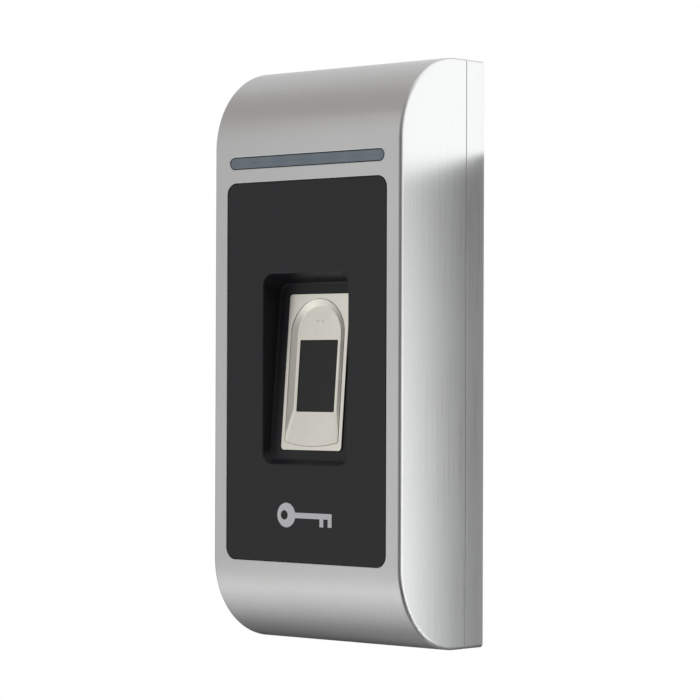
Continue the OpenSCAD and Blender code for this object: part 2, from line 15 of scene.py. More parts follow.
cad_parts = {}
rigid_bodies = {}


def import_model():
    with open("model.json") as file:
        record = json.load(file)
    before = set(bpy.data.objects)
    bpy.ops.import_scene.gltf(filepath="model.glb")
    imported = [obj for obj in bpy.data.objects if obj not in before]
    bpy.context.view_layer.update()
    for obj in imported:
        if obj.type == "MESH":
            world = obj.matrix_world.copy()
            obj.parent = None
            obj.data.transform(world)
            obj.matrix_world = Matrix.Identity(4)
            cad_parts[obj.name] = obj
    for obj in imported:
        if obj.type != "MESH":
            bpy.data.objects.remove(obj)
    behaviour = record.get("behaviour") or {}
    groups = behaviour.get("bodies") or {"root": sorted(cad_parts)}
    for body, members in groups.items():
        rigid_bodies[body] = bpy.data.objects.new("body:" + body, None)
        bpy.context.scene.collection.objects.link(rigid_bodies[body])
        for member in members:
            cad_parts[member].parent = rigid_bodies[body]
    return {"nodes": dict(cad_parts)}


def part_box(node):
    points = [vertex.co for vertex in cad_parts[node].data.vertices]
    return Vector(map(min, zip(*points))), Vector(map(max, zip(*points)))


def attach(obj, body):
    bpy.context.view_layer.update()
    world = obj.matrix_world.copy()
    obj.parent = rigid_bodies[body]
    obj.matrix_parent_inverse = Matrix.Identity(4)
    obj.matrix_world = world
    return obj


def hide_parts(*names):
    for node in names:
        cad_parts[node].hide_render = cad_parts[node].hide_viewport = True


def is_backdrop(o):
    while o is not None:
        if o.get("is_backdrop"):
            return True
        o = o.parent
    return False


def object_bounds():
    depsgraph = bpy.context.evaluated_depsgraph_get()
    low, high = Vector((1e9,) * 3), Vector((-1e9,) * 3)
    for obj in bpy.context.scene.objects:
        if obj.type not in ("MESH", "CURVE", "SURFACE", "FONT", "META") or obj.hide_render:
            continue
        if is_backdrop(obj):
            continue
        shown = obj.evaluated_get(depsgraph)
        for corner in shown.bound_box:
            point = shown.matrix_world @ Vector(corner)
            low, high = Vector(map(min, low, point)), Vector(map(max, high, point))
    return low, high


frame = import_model()
cad_low, cad_high = (Vector(corner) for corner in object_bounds())
print("CAD box in mm:", [round(v * 1000, 2) for v in cad_low], [round(v * 1000, 2) for v in cad_high])

# %% [markdown]
# Places are read from the model's own parts, so a piece built here lands where its part is. Lengths that
# belong to one feature are given in millimetres next to it.

# %% Read the places of the parts
MM = 0.001
cover_low, cover_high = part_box("front_cover")
panel_low, panel_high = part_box("front_panel")
light_low, light_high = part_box("light_bar")
mark_low, mark_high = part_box("key_mark")
board_low, board_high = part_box("main_board")
led_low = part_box("led_board")[0]
grub_low, grub_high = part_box("security_screw")
gasket_low, gasket_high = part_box("sensor_gasket")
half_w = cover_high[0] / MM
half_h = cover_high[2] / MM
front_y = cover_low[1] / MM
cover_back = cover_high[1] / MM
seam_y = -7.0
tray_front = 2 * seam_y - cover_back
print("half width", round(half_w, 2), "half height", round(half_h, 2), "seam at", seam_y)

# %% [markdown]
# ## Helpers
# An operator acts on everything that is selected, so each helper first clears the selection. Edges and
# faces are then chosen by where they are, as a modeller would click them.

# %% Helpers that select
def clear_selection():
    for thing in bpy.context.view_layer.objects:
        thing.select_set(False)


def make_active(piece):
    clear_selection()
    piece.select_set(True)
    bpy.context.view_layer.objects.active = piece


def choose_edges(piece, wanted, sharp=0.2):
    """Edit mode with the edges selected that turn more than sharp and that wanted(start, end) accepts."""
    make_active(piece)
    bpy.ops.object.mode_set(mode="EDIT")
    bpy.context.tool_settings.mesh_select_mode = (False, True, False)
    bpy.ops.mesh.select_all(action="DESELECT")
    mesh = bmesh.from_edit_mesh(piece.data)
    chosen = 0
    for edge in mesh.edges:
        start, end = (corner.co / MM for corner in edge.verts)
        if edge.calc_face_angle(0) > sharp and wanted(start, end):
            edge.select = True
            chosen += 1
    mesh.select_flush_mode()
    bmesh.update_edit_mesh(piece.data)
    return chosen


# %% [markdown]
# Every piece starts as a box or a round bar. Its edges are then rounded with a bevel.

# %% Helpers that shape
def block(name, low, high):
    """A box between two corners, in millimetres."""
    clear_selection()
    low = Vector(low) * MM
    high = Vector(high) * MM
    bpy.ops.mesh.primitive_cube_add(size=1, location=(low + high) / 2)
    piece = bpy.context.object
    piece.name = name
    piece.scale = high - low
    bpy.ops.object.transform_apply(location=True, rotation=True, scale=True)
    return piece


def bar(name, radius, start, end, sides=48):
    """A round bar between two points, in millimetres."""
    clear_selection()
    start = Vector(start) * MM
    end = Vector(end) * MM
    turn = (end - start).to_track_quat("Z", "Y").to_euler()
    bpy.ops.mesh.primitive_cylinder_add(
        vertices=sides, radius=radius * MM, depth=(end - start).length,
        location=(start + end) / 2, rotation=turn)
    piece = bpy.context.object
    piece.name = name
    bpy.ops.object.transform_apply(location=True, rotation=True, scale=True)
    return piece


def round_edges(piece, wanted, radius, segments, sharp=0.2):
    """Bevels the chosen edges to a radius in millimetres."""
    chosen = choose_edges(piece, wanted, sharp)
    if chosen:
        bpy.ops.mesh.bevel(
            offset=radius * MM, offset_type="OFFSET", segments=segments, profile=0.5,
            affect="EDGES", clamp_overlap=False)
    bpy.ops.mesh.select_all(action="SELECT")
    bpy.ops.mesh.remove_doubles(threshold=0.000002)
    bpy.ops.object.mode_set(mode="OBJECT")
    return chosen


def along(axis):
    """A test for edges that run along one axis."""
    others = [i for i in range(3) if i != axis]
    return lambda a, b: all(abs(a[i] - b[i]) < 0.01 for i in others)


def slab(name, centre, size, radius, y_from, y_to, segments=12):
    """A plate with round corners, seen from the front: centre and size are (x, z)."""
    piece = block(
        name, (centre[0] - size[0] / 2, y_from, centre[1] - size[1] / 2),
        (centre[0] + size[0] / 2, y_to, centre[1] + size[1] / 2))
    round_edges(piece, along(1), radius, segments)
    return piece


# %% [markdown]
# A Boolean modifier that is applied at once cuts, joins or intersects. A finished piece then gets smooth
# shading, its material and its place in the frame.

# %% Helpers that combine and finish
def combine(piece, other, how):
    """Cuts, joins or intersects with another piece, which is used up."""
    make_active(piece)
    step = piece.modifiers.new("combine", "BOOLEAN")
    step.operation = how
    step.solver = "EXACT"
    step.object = other
    bpy.ops.object.modifier_apply(modifier=step.name)
    bpy.data.objects.remove(other, do_unlink=True)
    return piece


def cut(piece, *tools):
    for tool in tools:
        combine(piece, tool, "DIFFERENCE")


def join(piece, *others):
    for other in others:
        combine(piece, other, "UNION")


def lay_brush_map(piece):
    """A map whose first direction runs across the scratches: x on the front and rounds, y on the sides."""
    make_active(piece)
    bpy.ops.object.mode_set(mode="EDIT")
    bpy.ops.mesh.select_all(action="SELECT")
    bpy.ops.uv.cube_project(cube_size=0.1, correct_aspect=False)
    bpy.ops.object.mode_set(mode="OBJECT")
    piece.data.uv_layers[0].name = "brush"


def finish_piece(piece, body, nodes, finish, angle=30):
    """Smooth shading that keeps flat faces flat, the finish, and the piece's place in the frame."""
    make_active(piece)
    bpy.ops.object.shade_smooth_by_angle(angle=math.radians(angle))
    step = piece.modifiers.new("flat faces stay flat", "WEIGHTED_NORMAL")
    step.keep_sharp = True
    step.weight = 90
    bpy.ops.object.modifier_apply(modifier=step.name)
    piece.data.materials.clear()
    piece.data.materials.append(finish)
    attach(piece, body)
    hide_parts(*nodes)
    size = [round(v / MM, 2) for v in piece.dimensions]
    print(piece.name, len(piece.data.polygons), "faces, size in mm", size)
    return piece


# %% [markdown]
# ## Finishes
# A finish is a Principled shader plus texture that follows the part. Noise read through a Mapping node in
# Object coordinates keeps its size in millimetres on every part. What is the same all over a surface, such
# as how metallic it is, is set on the shader itself. Noise only drives what changes from place to place.

# %% Helpers for finishes
def new_finish(name, colour, roughness, **settings):
    finish = bpy.data.materials.new(name)
    finish.use_nodes = True
    shader = finish.node_tree.nodes["Principled BSDF"]
    shader.inputs["Base Color"].default_value = (*colour, 1)
    shader.inputs["Roughness"].default_value = roughness
    for label, value in settings.items():
        shader.inputs[label.replace("_", " ")].default_value = value
    return finish


def add_node(finish, kind, **settings):
    node = finish.node_tree.nodes.new(kind)
    for label, value in settings.items():
        setattr(node, label, value)
    return node


def link(finish, start, end):
    finish.node_tree.links.new(start, end)


def shader_of(finish):
    return finish.node_tree.nodes["Principled BSDF"]


def grain(finish, per_metre, detail=3.0, stretch=(1, 1, 1), distortion=0.0):
    """Noise with so many cells in a metre, stretched along an axis by a small number there."""
    place = add_node(finish, "ShaderNodeTexCoord")
    mapping = add_node(finish, "ShaderNodeMapping")
    mapping.inputs["Scale"].default_value = [per_metre * s for s in stretch]
    noise = add_node(finish, "ShaderNodeTexNoise")
    noise.inputs["Scale"].default_value = 1.0
    noise.inputs["Detail"].default_value = detail
    noise.inputs["Distortion"].default_value = distortion
    link(finish, place.outputs["Object"], mapping.inputs["Vector"])
    link(finish, mapping.outputs["Vector"], noise.inputs["Vector"])
    return noise.outputs["Fac"]


# %% [markdown]
# Noise lies mostly between 0.3 and 0.7, so the next helpers spread that range over a colour or a roughness.

# %% Helpers that drive a finish
def colour_from(finish, amount, dark, light, low=0.3, high=0.7):
    ramp = add_node(finish, "ShaderNodeValToRGB")
    ramp.color_ramp.elements[0].position = low
    ramp.color_ramp.elements[0].color = (*dark, 1)
    ramp.color_ramp.elements[1].position = high
    ramp.color_ramp.elements[1].color = (*light, 1)
    link(finish, amount, ramp.inputs["Fac"])
    link(finish, ramp.outputs["Color"], shader_of(finish).inputs["Base Color"])
    return ramp.outputs["Color"]


def range_from(finish, amount, low, high):
    spread = add_node(finish, "ShaderNodeMapRange")
    spread.inputs["From Min"].default_value = 0.3
    spread.inputs["From Max"].default_value = 0.7
    spread.inputs["To Min"].default_value = low
    spread.inputs["To Max"].default_value = high
    link(finish, amount, spread.inputs["Value"])
    return spread.outputs["Result"]


def roughness_from(finish, amount, low, high):
    link(finish, range_from(finish, amount, low, high), shader_of(finish).inputs["Roughness"])


def bump_from(finish, amount, strength, height_mm):
    bump = add_node(finish, "ShaderNodeBump")
    bump.inputs["Strength"].default_value = strength
    bump.inputs["Distance"].default_value = height_mm * MM
    link(finish, amount, bump.inputs["Height"])
    link(finish, bump.outputs["Normal"], shader_of(finish).inputs["Normal"])
    return bump


def blend_of(finish, amount, first, second):
    """A number that goes from first to second as amount goes from 0 to 1."""
    mix = add_node(finish, "ShaderNodeMix", data_type="FLOAT")
    link(finish, amount, mix.inputs[0])
    link(finish, first, mix.inputs[2])
    link(finish, second, mix.inputs[3])
    return mix.outputs[0]


# %% [markdown]
# ### Brushed metal of the cover and the tray
# The cover is drawn along its height with an abrasive belt, so the scratches run up the front, over the
# rounds and up the sides. On the front a scratch keeps the same x and on a side it keeps the same y. The
# noise is therefore stretched along z on both, and the two are swapped at the narrow edge round.
# Scratches also blur reflections across them and keep them sharp along them. The shader's anisotropy does
# this, and takes the direction across the scratches from a map named brush that the metal pieces carry.

# %% Brushed metal
def make_brushed_metal(name, colour_dark, colour_light):
    finish = new_finish(name, colour_light, 0.3, Metallic=1.0, Anisotropic=0.9)
    across = add_node(finish, "ShaderNodeTangent", direction_type="UV_MAP", uv_map="brush")
    link(finish, across.outputs["Tangent"], shader_of(finish).inputs["Tangent"])
    on_front = grain(finish, 5200, 4.0, (1, 0, 0.004))
    on_side = grain(finish, 5200, 4.0, (0, 1, 0.004))
    place = add_node(finish, "ShaderNodeTexCoord")
    parts = add_node(finish, "ShaderNodeSeparateXYZ")
    away = add_node(finish, "ShaderNodeMath", operation="ABSOLUTE")
    edge = add_node(finish, "ShaderNodeMapRange")
    edge.inputs["From Min"].default_value = (half_w - 0.7) * MM
    edge.inputs["From Max"].default_value = (half_w - 0.15) * MM
    link(finish, place.outputs["Object"], parts.inputs["Vector"])
    link(finish, parts.outputs["X"], away.inputs[0])
    link(finish, away.outputs[0], edge.inputs["Value"])
    scratches = blend_of(finish, edge.outputs["Result"], on_front, on_side)
    cloud = grain(finish, 45, 2.0)
    colour_from(finish, scratches, colour_dark, colour_light)
    both = add_node(finish, "ShaderNodeMath", operation="MULTIPLY_ADD")
    both.inputs[1].default_value = 0.25
    link(finish, cloud, both.inputs[0])
    link(finish, scratches, both.inputs[2])
    roughness_from(finish, both.outputs[0], 0.24, 0.31)
    bump_from(finish, scratches, 0.10, 0.012)
    return finish


case_metal = make_brushed_metal("brushed_steel", (0.68, 0.68, 0.675), (0.72, 0.72, 0.715))

# %% [markdown]
# ### Moulded black of the panel
# The panel's mould was spark eroded, which leaves a fine even pitting. It scatters the light a little, so
# the black looks satin, with a slow change of gloss where hands have rubbed it.

# %% Moulded plastics and rubber
def make_moulded(name, dark, light, cells, rough_low, rough_high, strength, height_mm, **settings):
    finish = new_finish(name, light, rough_high, **settings)
    pits = grain(finish, cells, 2.0)
    cloud = grain(finish, 70, 2.0)
    colour_from(finish, cloud, dark, light)
    roughness_from(finish, cloud, rough_low, rough_high)
    bump_from(finish, pits, strength, height_mm)
    return finish


panel_black = make_moulded("panel_spark_black", (0.014, 0.014, 0.018), (0.018, 0.018, 0.022),
                           4200, 0.40, 0.48, 0.22, 0.02, Specular_IOR_Level=0.35)
part_black = make_moulded("part_black", (0.018, 0.018, 0.019), (0.03, 0.03, 0.032),
                          5200, 0.42, 0.6, 0.3, 0.02)
part_ivory = make_moulded("nylon_ivory", (0.66, 0.62, 0.52), (0.74, 0.70, 0.60),
                          3000, 0.38, 0.5, 0.12, 0.015, Subsurface_Weight=0.05)
terminal_green = make_moulded("terminal_green", (0.03, 0.25, 0.11), (0.045, 0.31, 0.14),
                              4200, 0.34, 0.46, 0.15, 0.015)
seal_rubber = make_moulded("seal_rubber", (0.014, 0.014, 0.015), (0.03, 0.03, 0.03),
                           2600, 0.68, 0.85, 0.3, 0.03)

# %% [markdown]
# ### Satin nickel of the sensor frame
# Satin nickel is bead blasted before plating. The dents are tiny and have no direction, so the noise isn't
# stretched, and the colour is a little warm.

# %% Satin nickel
bezel_nickel = new_finish("satin_nickel", (0.89, 0.86, 0.78), 0.30, Metallic=1.0)
dents = grain(bezel_nickel, 7000, 3.0)
nickel_cloud = grain(bezel_nickel, 160, 2.0)
colour_from(bezel_nickel, nickel_cloud, (0.87, 0.84, 0.76), (0.91, 0.88, 0.80))
roughness_from(bezel_nickel, dents, 0.27, 0.34)
bump_from(bezel_nickel, dents, 0.14, 0.015)

# %% [markdown]
# The sensing surface is a dark hard coat over rows of tiny sense plates, 0.1 mm apart. Each plate is far
# too small to see, so the rows only show as a faint sheen, made with one fine wave.

# %% Coat of the sensing surface
sensor_glass = new_finish("sensor_coat", (0.015, 0.015, 0.018), 0.34, Specular_IOR_Level=0.3,
                          Coat_Weight=0.1, Coat_Roughness=0.2)
smear = grain(sensor_glass, 260, 4.0, (1, 1, 0.6), 0.6)
colour_from(sensor_glass, smear, (0.013, 0.013, 0.016), (0.018, 0.018, 0.021))
roughness_from(sensor_glass, smear, 0.30, 0.42)
plates = add_node(sensor_glass, "ShaderNodeTexWave", wave_type="BANDS", bands_direction="X")
plates.inputs["Scale"].default_value = 3200
plate_place = add_node(sensor_glass, "ShaderNodeTexCoord")
link(sensor_glass, plate_place.outputs["Object"], plates.inputs["Vector"])
bump_from(sensor_glass, plates.outputs["Fac"], 0.05, 0.004)

# %% [markdown]
# The light guide is smoked plastic with six lamps behind it. With the lamps off it looks slate blue, a
# little lighter in front of each lamp, under a smooth clear skin.

# %% Smoked plastic of the light guide
light_lens = new_finish("smoked_guide", (0.10, 0.135, 0.175), 0.3, Coat_Weight=0.5, Coat_Roughness=0.12)
lamp_glow = add_node(light_lens, "ShaderNodeTexWave", wave_type="BANDS", bands_direction="X")
lamp_glow.inputs["Scale"].default_value = 36
lamp_glow.inputs["Distortion"].default_value = 0.6
lamp_place = add_node(light_lens, "ShaderNodeTexCoord")
link(light_lens, lamp_place.outputs["Object"], lamp_glow.inputs["Vector"])
colour_from(light_lens, lamp_glow.outputs["Fac"], (0.160, 0.206, 0.250), (0.178, 0.226, 0.276), 0.0, 1.0)
lens_skin = grain(light_lens, 900, 3.0)
roughness_from(light_lens, lens_skin, 0.26, 0.36)
bump_from(light_lens, lens_skin, 0.06, 0.01)

# %% [markdown]
# The key on the panel is screen printed. The mesh of the screen leaves a very fine weave in the ink.

# %% Printed ink
mark_grey = new_finish("screen_ink", (0.74, 0.75, 0.77), 0.5)
ink = grain(mark_grey, 3800, 3.0)
colour_from(mark_grey, ink, (0.70, 0.71, 0.73), (0.78, 0.79, 0.81))
roughness_from(mark_grey, ink, 0.44, 0.6)
bump_from(mark_grey, ink, 0.2, 0.01)

# %% [markdown]
# ### Parts inside
# They show when the cover swings open. The boards have green solder resist with copper tracks under it,
# which a brick pattern suggests. The screws are zinc plated, and the cans are drawn aluminium.

# %% Circuit board
circuit_board = new_finish("solder_resist", (0.02, 0.16, 0.07), 0.35, Coat_Weight=0.3, Coat_Roughness=0.15)
track_place = add_node(circuit_board, "ShaderNodeTexCoord")
track_map = add_node(circuit_board, "ShaderNodeMapping")
track_map.inputs["Rotation"].default_value = (math.radians(90), 0, 0)
tracks = add_node(circuit_board, "ShaderNodeTexBrick", offset=0.35)
tracks.inputs["Scale"].default_value = 260
tracks.inputs["Mortar Size"].default_value = 0.012
tracks.inputs["Color1"].default_value = (0.014, 0.13, 0.055, 1)
tracks.inputs["Color2"].default_value = (0.018, 0.155, 0.066, 1)
tracks.inputs["Mortar"].default_value = (0.035, 0.24, 0.10, 1)
link(circuit_board, track_place.outputs["Object"], track_map.inputs["Vector"])
link(circuit_board, track_map.outputs["Vector"], tracks.inputs["Vector"])
link(circuit_board, tracks.outputs["Color"], shader_of(circuit_board).inputs["Base Color"])
weave = grain(circuit_board, 1500, 3.0)
roughness_from(circuit_board, weave, 0.28, 0.44)
bump_from(circuit_board, tracks.outputs["Fac"], 0.3, 0.03)

# %% [markdown]
# Zinc is a little blotchy. A drawn can shows lines along its length. A white lamp has yellow phosphor.

# %% Small metal parts and lamps
screw_steel = new_finish("zinc_plate", (0.62, 0.63, 0.65), 0.3, Metallic=1.0)
zinc = grain(screw_steel, 2600, 4.0)
colour_from(screw_steel, zinc, (0.52, 0.53, 0.56), (0.70, 0.70, 0.71))
roughness_from(screw_steel, zinc, 0.22, 0.42)
bump_from(screw_steel, zinc, 0.2, 0.015)

can_aluminium = new_finish("drawn_can", (0.78, 0.78, 0.79), 0.28, Metallic=1.0)
drawn = grain(can_aluminium, 4000, 3.0, (1, 0.01, 1))
colour_from(can_aluminium, drawn, (0.70, 0.70, 0.72), (0.82, 0.82, 0.83))
roughness_from(can_aluminium, drawn, 0.24, 0.38)
bump_from(can_aluminium, drawn, 0.15, 0.01)

led_white = new_finish("lamp_white", (0.84, 0.82, 0.70), 0.35, Subsurface_Weight=0.1)
phosphor = grain(led_white, 3500, 3.0)
colour_from(led_white, phosphor, (0.80, 0.76, 0.58), (0.88, 0.87, 0.80))
roughness_from(led_white, phosphor, 0.3, 0.45)
bump_from(led_white, phosphor, 0.1, 0.01)

FINISHES = {
    "case_metal": case_metal, "panel_black": panel_black, "mark_grey": mark_grey,
    "light_lens": light_lens, "bezel_nickel": bezel_nickel, "sensor_glass": sensor_glass,
    "seal_rubber": seal_rubber, "circuit_board": circuit_board, "screw_steel": screw_steel,
    "part_black": part_black, "part_ivory": part_ivory, "led_white": led_white,
    "can_aluminium": can_aluminium, "terminal_green": terminal_green,
}
print(len(FINISHES), "finishes")

# %% [markdown]
# The parts that keep their engineering shape get their finish here. The slot names come with the model.

# %% Give the kept parts their finishes
for name, part in frame["nodes"].items():
    for material_slot in part.material_slots:
        wanted = material_slot.material.name.split(".")[0]
        material_slot.link = "OBJECT"
        material_slot.material = FINISHES[wanted]
print("finished", len(frame["nodes"]), "parts")

# %% [markdown]
# ## Metal cover
# The real cover is a die casting: one shell with flat sides, and the front rolls into the top and the
# bottom over a 21.5 mm radius. A block with those two edges bevelled gives that profile. Bevelling the side
# outlines next runs the 1 mm edge round over the big rounds without a break.

# %% Outside of the cover
cover = block("metal_cover", (-half_w, front_y, -half_h), (half_w, cover_back, half_h))
BIG_ROUND = 21.5
round_edges(cover, lambda a, b: along(0)(a, b) and abs(a.y - front_y) < 0.01, BIG_ROUND, 44)


def on_side_outline(a, b):
    same_side = abs(a.x - b.x) < 0.01 and abs(abs(a.x) - half_w) < 0.01
    return same_side and not (abs(a.y - cover_back) < 0.01 and abs(b.y - cover_back) < 0.01)


print("side outline edges:", round_edges(cover, on_side_outline, 1.0, 5))

# %% [markdown]
# The hollow is a second block with smaller rounds, cut out of the first. The wall is 2.2 mm at the sides
# and 3 mm at the front, where the panel has to sink in.

# %% Hollow the cover
WALL = 2.2
inner_front = front_y + 3.0
hollow_low = (-half_w + WALL, inner_front, -half_h + WALL)
hollow = block("hollow", hollow_low, (half_w - WALL, cover_back + 1, half_h - WALL))
round_edges(hollow, lambda a, b: along(0)(a, b) and abs(a.y - inner_front) < 0.01, BIG_ROUND - WALL - 0.4, 32)
cut(cover, hollow)
print("cover hollowed:", len(cover.data.polygons), "faces")

# %% [markdown]
# Inside, four bosses carry the main board, two pegs hold the lamp board, two lips hang behind the tray's
# hooks, and a thicker spot at the bottom takes the grub screw. They are bars and blocks joined to the shell.

# %% Bosses, pegs and lips
def skin_depth(z):
    """Depth of the cover's outer surface at a height."""
    over = max(0.0, abs(z) - (half_h - BIG_ROUND))
    return front_y + BIG_ROUND - math.sqrt(BIG_ROUND ** 2 - over ** 2)


board_front = board_low[1] / MM
boss_x = board_high[0] / MM - 6
boss_zs = (board_high[2] / MM - 4, board_low[2] / MM + 3.2)
for x in (-boss_x, boss_x):
    for z in boss_zs:
        join(cover, bar("boss", 3.0, (x, skin_depth(abs(z) + 3) + 0.8, z), (x, board_front, z)))
        cut(cover, bar("thread", 1.25, (x, board_front - 9, z), (x, board_front + 1, z), 24))
peg_z = (light_low[2] + light_high[2]) / 2 / MM + 4.4
led_front = led_low[1] / MM
for x in (-8, 8):
    join(cover, bar("peg", 1.2, (x, skin_depth(peg_z + 1.2) + 0.8, peg_z), (x, led_front, peg_z), 32))
    join(cover, bar("pin", 0.8, (x, led_front - 1, peg_z), (x, led_front + 1.4, peg_z), 32))
for x in (-15, 15):
    lip = bar("lip", 5.0, (x - 5.5, seam_y, half_h), (x + 5.5, seam_y, half_h))
    keep = block("keep", (x - 6, seam_y - 3.4, half_h - 5), (x + 6, seam_y - 0.45, half_h - WALL + 0.5))
    combine(lip, keep, "INTERSECT")
    join(cover, lip)
grub_y = (grub_low[1] + grub_high[1]) / 2 / MM
grub_floor = -half_h + 0.9
join(cover, bar("grub boss", 4.5, (0, grub_y, grub_floor + 0.6), (0, grub_y, -half_h + 6.2)))
cut(cover, bar("grub thread", 2.05, (0, grub_y, -half_h - 1), (0, grub_y, -half_h + 7.5), 32))
print("inside of the cover done:", len(cover.data.polygons), "faces")

# %% [markdown]
# The front gets a stepped opening for the panel and a slot with round ends for the light guide. A milled
# edge is never quite sharp: 0.2 to 0.3 mm of round on each opening catches the light as a thin line.

# %% Openings in the front
panel_z = (panel_low[2] + panel_high[2]) / 2 / MM
panel_w = (panel_high[0] - panel_low[0]) / MM + 0.3
panel_h = (panel_high[2] - panel_low[2]) / MM + 0.3
ledge_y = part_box("panel_gasket")[1][1] / MM
cut(cover, slab("rebate", (0, panel_z), (panel_w, panel_h), 3.0, front_y - 1, ledge_y, 14))
opening = (panel_w - 3.4, panel_h - 3.4)
cut(cover, slab("through", (0, panel_z), opening, 1.6, front_y - 1, inner_front + 1, 8))
light_z = (light_low[2] + light_high[2]) / 2 / MM
light_w = (light_high[0] - light_low[0]) / MM - 2
cut(cover, slab("slot", (0, light_z), (light_w, 3.0), 1.499, front_y - 1, inner_front + 1, 12))


def at_front(a):
    return abs(a.y - front_y) < 0.02


def round_panel(a, b):
    inside = all(abs(p.x) < panel_w / 2 + 0.1 and abs(p.z - panel_z) < panel_h / 2 + 0.1 for p in (a, b))
    return at_front(a) and at_front(b) and inside


def round_slot(a, b):
    inside = all(abs(p.x) < light_w / 2 + 0.1 and abs(p.z - light_z) < 1.6 for p in (a, b))
    return at_front(a) and at_front(b) and inside


def round_seam(a, b):
    outside = all(abs(p.x) > half_w - 1.1 or abs(p.z) > half_h - 0.1 for p in (a, b))
    return outside and abs(a.y - cover_back) < 0.01 and abs(b.y - cover_back) < 0.01


print("panel edge", round_edges(cover, round_panel, 0.2, 3))
print("slot edge", round_edges(cover, round_slot, 0.3, 3))
print("seam edge", round_edges(cover, round_seam, 0.12, 2))
lay_brush_map(cover)
finish_piece(cover, "cover", ["front_cover"], case_metal)

# %% [markdown]
# ## Rear tray
# The tray stays on the wall. Its rim meets the cover at the seam with a very small chamfer. A groove in the
# rim holds the rubber seal, and a tongue inside it guides the cover. It is built like the cover: a plate, a
# hollow, then the small features joined on.

# %% Plate, groove and tongue
tray = slab("rear_tray", (0, 0), (2 * half_w, 2 * half_h), 1.0, tray_front, 0, 5)
tongue_w = 2 * half_w - 2 * (WALL + 0.25)
tongue_h = 2 * half_h - 2 * (WALL + 0.25)
cut(tray, slab("well", (0, 0), (tongue_w - 2.4, tongue_h - 2.4), 1.0, tray_front - 1, -2.2, 4))
groove = slab("groove", (0, 0), (2 * half_w - 2.2, 2 * half_h - 2.2), 1.2, tray_front - 1, tray_front + 1, 5)
core = (2 * half_w - 4.2, 2 * half_h - 4.2)
cut(groove, slab("core", (0, 0), core, 0.3, tray_front - 2, tray_front + 2, 3))
cut(tray, groove)
tongue_low = (-tongue_w / 2, seam_y - 2, -tongue_h / 2)
tongue = block("tongue", tongue_low, (tongue_w / 2, tray_front + 1, tongue_h / 2 - 6))
cut(tongue, block("core", (-tongue_w / 2 + 1.2, seam_y - 3, -tongue_h / 2 + 1.2),
                  (tongue_w / 2 - 1.2, tray_front + 2, tongue_h / 2)))
cut(tongue, block("notch", (-6, seam_y - 3, -half_h - 1), (6, tray_front + 2, -half_h + 10)))
join(tray, tongue)
print("tray with groove and tongue:", len(tray.data.polygons), "faces")

# %% [markdown]
# The hooks are parts of a ring about the swing axis, so the cover's lips turn in them without rubbing.

# %% Hooks, lug, post and ribs
for x in (-15, 15):
    hook = bar("hook", 6.9, (x - 4.5, seam_y, half_h), (x + 4.5, seam_y, half_h))
    cut(hook, bar("bore", 5.3, (x - 6, seam_y, half_h), (x + 6, seam_y, half_h)))
    keep = block("keep", (x - 6, seam_y - 7.9, half_h - 7.9), (x + 6, seam_y, half_h - 3.3))
    combine(hook, keep, "INTERSECT")
    join(hook, block("foot", (x - 4.5, seam_y - 0.5, half_h - 6.9), (x + 4.5, -1.1, half_h - 5.3)))
    join(tray, hook)
lug_low = -half_h + 7.0
join(tray, block("lug", (-6, grub_y - 4, lug_low), (6, -1.1, lug_low + 5.5)))
join(tray, bar("post", 3.4, (-17, -4.0, 22), (-17, -1.1, 22)))
for x in (-13, 13):
    join(tray, block("rib", (x - 0.6, -4.2, -half_h + 24), (x + 0.6, -1.7, half_h - 24)))
print("tray with hooks, lug, post and ribs:", len(tray.data.polygons), "faces")

# %% [markdown]
# Four screws hold the tray on a wall, or two on a wall box. The cable comes in through the rubber ring.

# %% Screw holes and cable hole
for x in (-21, 21):
    for z in (-half_h + 18, half_h - 18):
        cut(tray, bar("wall hole", 2.25, (x, -3.2, z), (x, 1, z)))
for z in (-41.65, 41.65):
    cut(tray, bar("box hole", 2.0, (0, -3.2, z), (0, 1, z)))
cable_low, cable_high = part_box("cable_grommet")
cable_z = (cable_low[2] + cable_high[2]) / 2 / MM
cut(tray, bar("cable hole", 6.0, (0, -3.2, cable_z), (0, 1, cable_z), 64))
cut(tray, bar("cable pocket", 8.4, (0, -0.9, cable_z), (0, 1, cable_z), 64))
cut(tray, bar("lug hole", 2.3, (0, grub_y, lug_low - 1), (0, grub_y, lug_low + 6.5), 32))


def on_rim(depth):
    def wanted(a, b):
        outside = all(abs(p.x) > half_w - 1.05 and abs(p.z) > half_h - 1.05 or
                      abs(p.x) > half_w - 0.05 or abs(p.z) > half_h - 0.05 for p in (a, b))
        return outside and abs(a.y - depth) < 0.01 and abs(b.y - depth) < 0.01
    return wanted


print("seam chamfer", round_edges(tray, on_rim(tray_front), 0.12, 2))
print("back edge", round_edges(tray, on_rim(0.0), 0.12, 2))
lay_brush_map(tray)
finish_piece(tray, "base", ["base_plate"], case_metal)

# %% [markdown]
# ## Front panel
# The panel is one black moulding: a thin plate, and a tub whose floor leans back so that a finger lies
# flat on it. The tub has draft, because it has to leave the mould. A plate with round corners is extruded
# once, and the new end is placed on the leaning floor. That gives the tub's outside and, a wall thickness
# smaller, its inside.

# %% The leaning floor
LEAN = math.radians(4.8)
seat_y = (gasket_low[1] + gasket_high[1]) / 2 / MM
seat_z = (gasket_low[2] + gasket_high[2]) / 2 / MM
SEAT_T = -1.75
floor_y = seat_y + SEAT_T * math.cos(LEAN)
floor_z = seat_z - SEAT_T * math.sin(LEAN)
print("pocket floor passes through y", round(floor_y, 2), "z", round(floor_z, 2))


def on_floor(s, t):
    """Depth and height of a point s up along the pocket floor and t out of it."""
    return (floor_y + s * math.sin(LEAN) - t * math.cos(LEAN),
            floor_z + s * math.cos(LEAN) + t * math.sin(LEAN))


